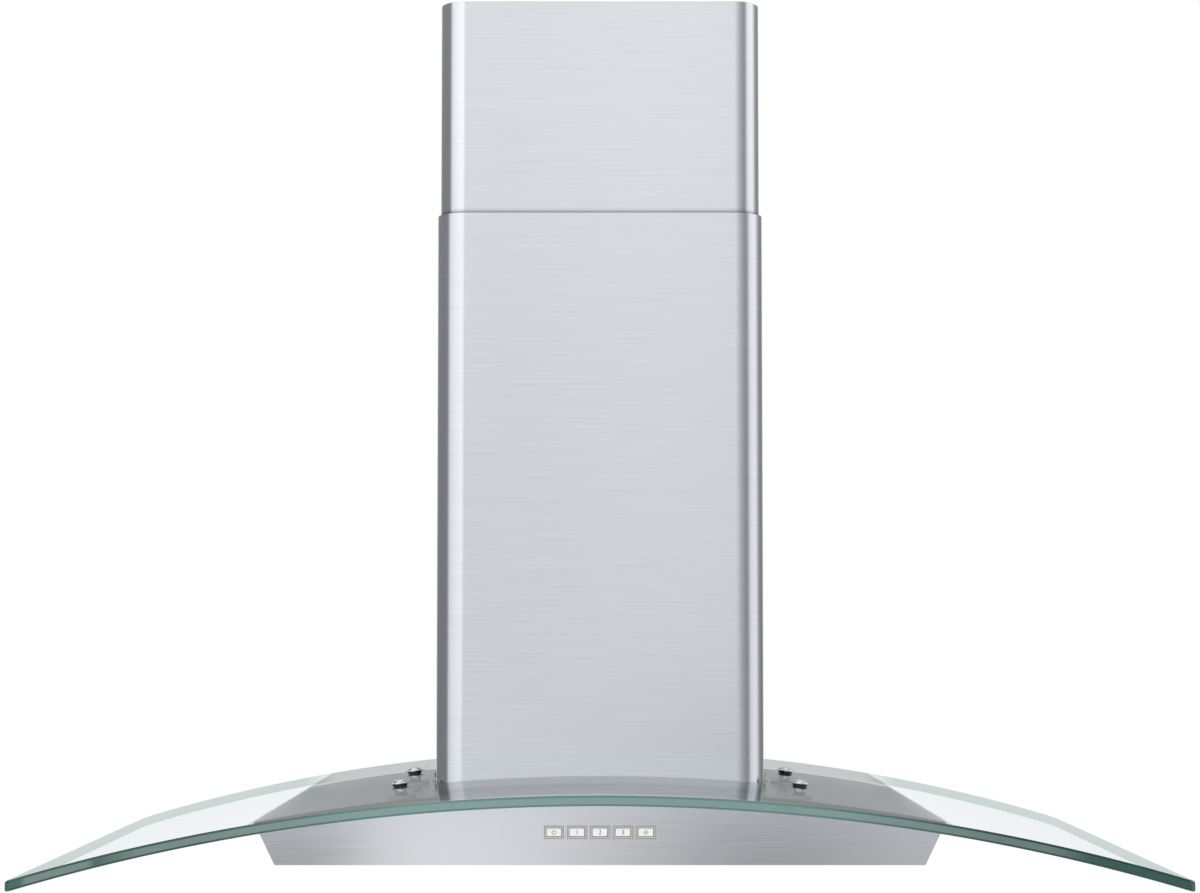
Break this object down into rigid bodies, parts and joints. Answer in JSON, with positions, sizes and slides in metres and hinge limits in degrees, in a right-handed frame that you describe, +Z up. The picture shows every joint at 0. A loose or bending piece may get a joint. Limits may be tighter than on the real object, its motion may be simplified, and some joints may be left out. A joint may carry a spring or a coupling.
{
  "type": "wall mount range hood",
  "caption": "Wall mount range hood: arched clear glass canopy on a brushed steel body with push buttons, telescopic chimney covers, hinged grease filters and a ducted blower.",
  "frame": {"origin": "middle of the body's bottom rear edge, on the wall plane", "axes": "+X to the viewer's right, +Y into the wall, +Z up"},
  "size_m": [0.9, 0.5, 0.7345],
  "materials": {
    "brushed_stainless": "brushed stainless steel, fine grain",
    "galvanised_sheet": "galvanised sheet",
    "clear_glass": "clear tempered glass, ground edges",
    "soft_grommet": "translucent soft plastic",
    "polished_chrome": "polished chrome",
    "black_moulding": "black moulded plastic",
    "zinc_screw": "bright zinc plate",
    "bright_steel": "bright steel",
    "white_button": "white translucent plastic",
    "grey_frame": "warm grey plastic",
    "circuit_board": "green circuit board",
    "aluminium_filter": "satin aluminium",
    "frosted_lens": "frosted plastic lens",
    "white_moulding": "white plastic",
    "capacitor_can": "pale plastic can",
    "nylon_pad": "nylon"
  },
  "bodies": {
    "hood": {"back_plate": "galvanised_sheet", "blower_box": "galvanised_sheet", "blower_screws": "zinc_screw", "board_screws": "zinc_screw", "bottom_pan": "brushed_stainless", "button_frame": "grey_frame", "cable_gland": "black_moulding", "canopy_shell": "brushed_stainless", "capacitor_strap": "galvanised_sheet", "chimney_brackets": "galvanised_sheet", "chimney_foot_screws": "zinc_screw", "control_board": "circuit_board", "damper_pin": "bright_steel", "duct_collar": "galvanised_sheet", "fan_motor": "aluminium_filter", "filter_hinge_rod": "bright_steel", "front_panel": "brushed_stainless", "glass_canopy": "clear_glass", "glass_grommets": "soft_grommet", "glass_nuts": "zinc_screw", "glass_screws": "polished_chrome", "glass_washers": "polished_chrome", "junction_box": "galvanised_sheet", "junction_cover": "galvanised_sheet", "lamp_driver": "white_moulding", "left_lamp_bezel": "brushed_stainless", "left_lamp_housing": "aluminium_filter", "left_lamp_lens": "frosted_lens", "lower_chimney_cover": "brushed_stainless", "motor_bracket": "galvanised_sheet", "motor_screws": "zinc_screw", "pan_screws": "zinc_screw", "push_switches": "circuit_board", "right_lamp_bezel": "brushed_stainless", "right_lamp_housing": "aluminium_filter", "right_lamp_lens": "frosted_lens", "run_capacitor": "capacitor_can", "scroll_cover": "black_moulding", "scroll_housing": "black_moulding", "slide_pads": "nylon_pad", "terminal_block": "white_moulding"},
    "upper_chimney": {"upper_chimney_cover": "brushed_stainless", "upper_wall_bracket": "galvanised_sheet", "upper_cover_screws": "zinc_screw"},
    "fan_wheel": {"impeller": "black_moulding", "motor_shaft": "bright_steel", "shaft_nut": "bright_steel"},
    "front_damper": {"front_damper_flap": "galvanised_sheet"},
    "rear_damper": {"rear_damper_flap": "galvanised_sheet"},
    "left_filter": {"left_filter_frame": "aluminium_filter", "left_filter_mesh": "aluminium_filter"},
    "right_filter": {"right_filter_frame": "aluminium_filter", "right_filter_mesh": "aluminium_filter"},
    "left_ring": {"left_pull_ring": "bright_steel"},
    "right_ring": {"right_pull_ring": "bright_steel"},
    "key_1": {"button_1": "white_button"},
    "key_2": {"button_2": "white_button"},
    "key_3": {"button_3": "white_button"},
    "key_4": {"button_4": "white_button"},
    "key_5": {"button_5": "white_button"}
  },
  "joints": [
    {"name": "chimney_slide", "type": "slide", "parent": "hood", "child": "upper_chimney", "axis": [0, 0, 1], "range_m": [-0.15, 0.2]},
    {"name": "fan_spin", "type": "hinge", "parent": "hood", "child": "fan_wheel", "pos_m": [0, -0.186, 0.196], "axis": [1, 0, 0], "continuous": true},
    {"name": "front_damper_hinge", "type": "hinge", "parent": "hood", "child": "front_damper", "pos_m": [0, -0.128, 0.345], "axis": [-1, 0, 0], "range_deg": [0, 80]},
    {"name": "rear_damper_hinge", "type": "hinge", "parent": "hood", "child": "rear_damper", "pos_m": [0, -0.128, 0.345], "axis": [1, 0, 0], "range_deg": [0, 80]},
    {"name": "key_1_press", "type": "slide", "parent": "hood", "child": "key_1", "axis": [0, 1, 0], "range_m": [0, 0.0012], "stiffness_N_per_m": 1500},
    {"name": "key_2_press", "type": "slide", "parent": "hood", "child": "key_2", "axis": [0, 1, 0], "range_m": [0, 0.0012], "stiffness_N_per_m": 1500},
    {"name": "key_3_press", "type": "slide", "parent": "hood", "child": "key_3", "axis": [0, 1, 0], "range_m": [0, 0.0012], "stiffness_N_per_m": 1500},
    {"name": "key_4_press", "type": "slide", "parent": "hood", "child": "key_4", "axis": [0, 1, 0], "range_m": [0, 0.0012], "stiffness_N_per_m": 1500},
    {"name": "key_5_press", "type": "slide", "parent": "hood", "child": "key_5", "axis": [0, 1, 0], "range_m": [0, 0.0012], "stiffness_N_per_m": 1500},
    {"name": "left_filter_hinge", "type": "hinge", "parent": "hood", "child": "left_filter", "pos_m": [-0.088, -0.044, 0.0062], "axis": [1, 0, 0], "range_deg": [0, 75]},
    {"name": "left_ring_hinge", "type": "hinge", "parent": "left_filter", "child": "left_ring", "pos_m": [-0.088, -0.247, 0.0022], "axis": [-1, 0, 0], "range_deg": [0, 90]},
    {"name": "right_filter_hinge", "type": "hinge", "parent": "hood", "child": "right_filter", "pos_m": [0.088, -0.044, 0.0062], "axis": [1, 0, 0], "range_deg": [0, 75]},
    {"name": "right_ring_hinge", "type": "hinge", "parent": "right_filter", "child": "right_ring", "pos_m": [0.088, -0.247, 0.0022], "axis": [-1, 0, 0], "range_deg": [0, 90]}
  ]
}
